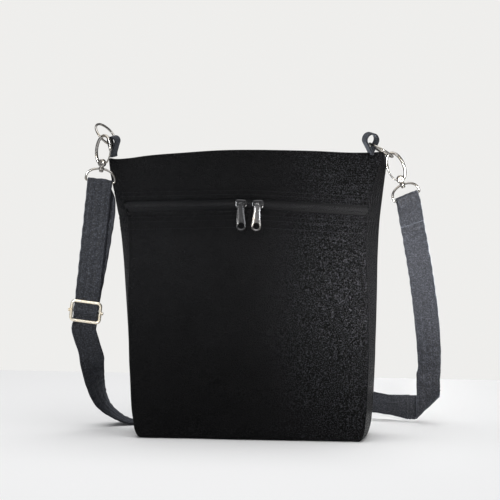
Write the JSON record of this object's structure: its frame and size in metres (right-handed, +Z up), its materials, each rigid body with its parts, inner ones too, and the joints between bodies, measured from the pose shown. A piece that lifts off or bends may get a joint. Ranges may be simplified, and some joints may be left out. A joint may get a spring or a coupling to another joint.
{
  "type": "crossbody bag",
  "caption": "Soft fabric crossbody bag with a zipped front opening, metal ring and clasp hangers and a flat shoulder strap folded round behind it.",
  "frame": {"origin": "centre of the underside of the base, on the surface the bag stands on", "axes": "+X to the viewer's right across the bag's width, +Y from the zipped front to the back, +Z up"},
  "size_m": [0.3663, 0.1586, 0.3136],
  "materials": {
    "coated_cloth": "smooth black coated cloth with a soft sheen",
    "coated_cloth_band": "smooth black coated cloth with a soft sheen",
    "coated_cloth_back": "smooth black coated cloth with a soft sheen",
    "coated_cloth_base": "smooth black coated cloth with a soft sheen",
    "board": "stiff black base board",
    "lining": "thin woven lining",
    "zip_tape": "black woven zip tape",
    "zip_coil": "black nylon coil",
    "nickel": "bright nickel plating",
    "black_nickel": "gloss black enamelled metal",
    "steel_pin": "plain steel pin",
    "webbing": "flat dark strap cloth with rows of stitching"
  },
  "bodies": {
    "bag": {"front_panel": "coated_cloth", "upper_band": "coated_cloth_band", "back_panel": "coated_cloth_back", "base_panel": "coated_cloth_base", "base_board": "board", "lining_pouch": "lining", "zip_tape_upper": "zip_tape", "zip_tape_lower": "zip_tape", "zip_coil_upper": "zip_coil", "zip_coil_lower": "zip_coil", "zip_stop_left": "nickel", "zip_stop_right": "nickel", "loop_tab_left": "webbing", "loop_tab_right": "webbing", "strap_upper_run": "webbing", "strap_return": "webbing", "strap_left_run": "webbing", "strap_rear_run": "webbing", "strap_right_run": "webbing"},
    "slider_left": {"zip_slider_left": "black_nickel"},
    "pull_left": {"zip_pull_left": "black_nickel"},
    "slider_right": {"zip_slider_right": "black_nickel"},
    "pull_right": {"zip_pull_right": "nickel"},
    "ring_left": {"ring_left": "nickel"},
    "ring_right": {"ring_right": "nickel"},
    "eye_left": {"swivel_eye_left": "nickel"},
    "clasp_left": {"clasp_left": "nickel", "swivel_rivet_left": "nickel", "gate_pin_left": "steel_pin"},
    "gate_left": {"gate_left": "nickel"},
    "eye_right": {"swivel_eye_right": "nickel"},
    "clasp_right": {"clasp_right": "nickel", "swivel_rivet_right": "nickel", "gate_pin_right": "steel_pin"},
    "gate_right": {"gate_right": "nickel"},
    "adjuster": {"adjuster_frame": "nickel", "adjuster_bar": "nickel", "strap_in_adjuster": "webbing"}
  },
  "joints": [
    {"name": "zip_left_slide", "type": "slide", "parent": "bag", "child": "slider_left", "axis": [-0.9992, 0.0005, -0.041], "range_m": [0, 0.095]},
    {"name": "pull_left_hinge", "type": "hinge", "parent": "slider_left", "child": "pull_left", "pos_m": [-0.01004, -0.01713, 0.23782], "axis": [-0.9992, 0.0005, -0.041], "range_deg": [0, 150]},
    {"name": "zip_right_slide", "type": "slide", "parent": "bag", "child": "slider_right", "axis": [0.9991, -0.0038, -0.0411], "range_m": [0, 0.095]},
    {"name": "pull_right_hinge", "type": "hinge", "parent": "slider_right", "child": "pull_right", "pos_m": [0.007, -0.01717, 0.23762], "axis": [-0.9991, 0.0038, 0.0411], "range_deg": [0, 150]},
    {"name": "ring_left_hinge", "type": "hinge", "parent": "bag", "child": "ring_left", "pos_m": [-0.14048, 0, 0.29277], "axis": [0.342, 0.9397, 0], "range_deg": [-15, 5]},
    {"name": "ring_right_hinge", "type": "hinge", "parent": "bag", "child": "ring_right", "pos_m": [0.11885, 0, 0.29817], "axis": [-0.5, 0.866, 0], "range_deg": [-1, 3]},
    {"name": "eye_left_hinge", "type": "hinge", "parent": "bag", "child": "eye_left", "pos_m": [-0.15347, -0.0075, 0.25646], "axis": [0.9934, 0, -0.1149], "range_deg": [-2, 0]},
    {"name": "clasp_left_swivel", "type": "hinge", "parent": "eye_left", "child": "clasp_left", "pos_m": [-0.15198, -0.0075, 0.26937], "axis": [0.1149, 0, 0.9934], "range_deg": [-10, 5]},
    {"name": "gate_left_hinge", "type": "hinge", "parent": "clasp_left", "child": "gate_left", "pos_m": [-0.15011, -0.00806, 0.27499], "axis": [-0.4198, -0.9063, 0.0486], "range_deg": [0, 25], "stiffness_Nm_per_rad": 0.001},
    {"name": "eye_right_hinge", "type": "hinge", "parent": "bag", "child": "eye_right", "pos_m": [0.15441, 0.0105, 0.24381], "axis": [0.8243, 0.4695, 0.3164], "range_deg": [-1, 5]},
    {"name": "clasp_right_swivel", "type": "hinge", "parent": "eye_right", "child": "clasp_right", "pos_m": [0.14975, 0.0105, 0.25595], "axis": [-0.3584, 0, 0.9336], "range_deg": [-5, 10]},
    {"name": "gate_right_hinge", "type": "hinge", "parent": "clasp_right", "child": "gate_right", "pos_m": [0.14643, 0.01038, 0.26089], "axis": [-0.0814, 0.9962, -0.0312], "range_deg": [0, 25], "stiffness_Nm_per_rad": 0.001},
    {"name": "adjuster_slide", "type": "slide", "parent": "bag", "child": "adjuster", "axis": [0.1147, -0.0627, 0.9914], "range_m": [0, 0.08], "deforming": ["strap_return", "strap_in_adjuster"]}
  ]
}
